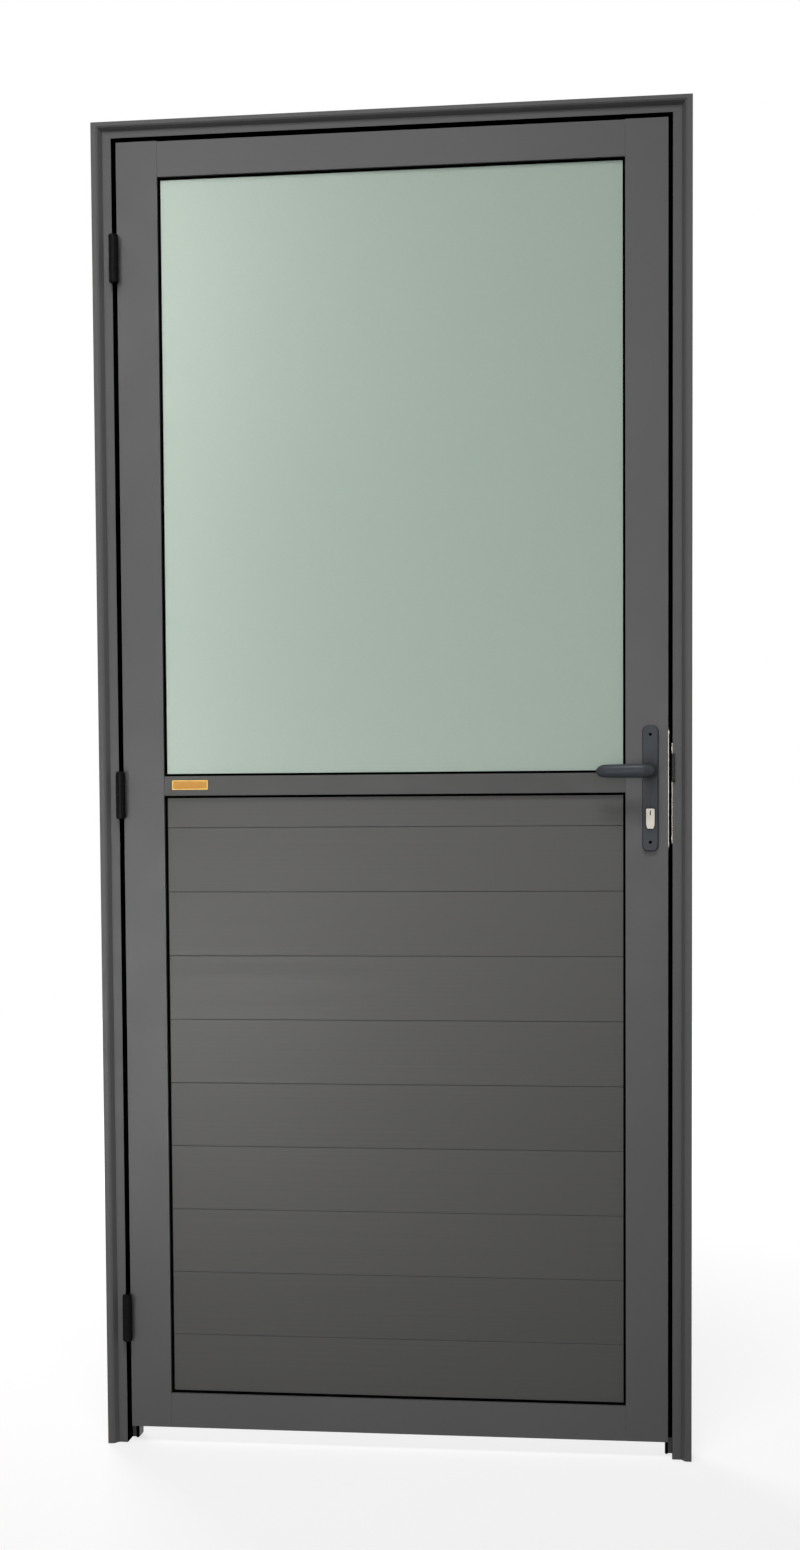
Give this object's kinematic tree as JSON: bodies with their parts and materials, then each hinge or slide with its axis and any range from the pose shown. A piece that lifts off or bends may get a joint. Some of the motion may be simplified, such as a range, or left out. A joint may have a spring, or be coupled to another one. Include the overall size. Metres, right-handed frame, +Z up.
{
  "type": "half-glazed aluminium door",
  "caption": "Hinged door in its frame: frosted glass above, horizontal planks below, lever handles both sides, stepped trim round sides and top.",
  "frame": {"origin": "on the wall face of the hinge jamb, at floor level, in the middle of the jamb's depth", "axes": "+X across the doorway from hinge jamb to lock jamb, +Y from the trim side to the stop side, +Z up"},
  "size_m": [0.942, 0.138, 2.1163],
  "materials": {
    "graphite_frame": "satin graphite powder coat",
    "graphite_leaf": "satin graphite powder coat",
    "graphite_plank": "satin graphite powder coat",
    "black_seal": "matt",
    "black_hinge": "satin black",
    "frosted_glass": "frosted, pale green",
    "handle_grey": "satin blue-grey",
    "nickel": "satin nickel",
    "bright_steel": "zinc plated",
    "black_plastic": "matt"
  },
  "bodies": {
    "frame": {"jamb_hinge_side": "graphite_frame", "jamb_lock_side": "graphite_frame", "frame_head": "graphite_frame", "stop_hinge_side": "graphite_frame", "stop_lock_side": "graphite_frame", "stop_head": "graphite_frame", "trim_hinge_side": "graphite_frame", "trim_lock_side": "graphite_frame", "trim_head": "graphite_frame", "rebate_seal": "black_seal", "strike_plate": "nickel", "latch_guide": "black_plastic", "hinge_bottom_frame_half": "black_hinge", "hinge_middle_frame_half": "black_hinge", "hinge_top_frame_half": "black_hinge"},
    "leaf": {"stile_hinge_side": "graphite_leaf", "stile_lock_side": "graphite_leaf", "rail_top": "graphite_leaf", "rail_middle": "graphite_leaf", "rail_bottom": "graphite_leaf", "glass_pane": "frosted_glass", "glass_gasket": "black_seal", "glass_beads": "graphite_leaf", "plank_01": "graphite_plank", "plank_02": "graphite_plank", "plank_03": "graphite_plank", "plank_04": "graphite_plank", "plank_05": "graphite_plank", "plank_06": "graphite_plank", "plank_07": "graphite_plank", "plank_08": "graphite_plank", "plank_09": "graphite_plank", "plank_10": "graphite_plank", "panel_gasket": "black_seal", "panel_beads": "graphite_leaf", "lock_faceplate": "nickel", "latch_bolt": "nickel", "dead_bolt": "nickel", "lock_case": "bright_steel", "lock_cylinder": "nickel", "handle_plate_front": "handle_grey", "handle_plate_back": "handle_grey", "hinge_bottom_leaf_half": "black_hinge", "hinge_middle_leaf_half": "black_hinge", "hinge_top_leaf_half": "black_hinge"},
    "lever": {"lever_front": "handle_grey", "lever_back": "handle_grey", "spindle": "bright_steel"}
  },
  "joints": [
    {"name": "leaf_swing", "type": "hinge", "parent": "frame", "child": "leaf", "pos_m": [0.0135, -0.0405, 1.05525], "axis": [0, 0, -1], "range_deg": [0, 170]},
    {"name": "lever_turn", "type": "hinge", "parent": "leaf", "child": "lever", "pos_m": [0.8565, -0.0155, 1.087], "axis": [0, -1, 0], "range_deg": [0, 40], "stiffness_Nm_per_rad": 1.5, "springref_deg": -34.38}
  ]
}
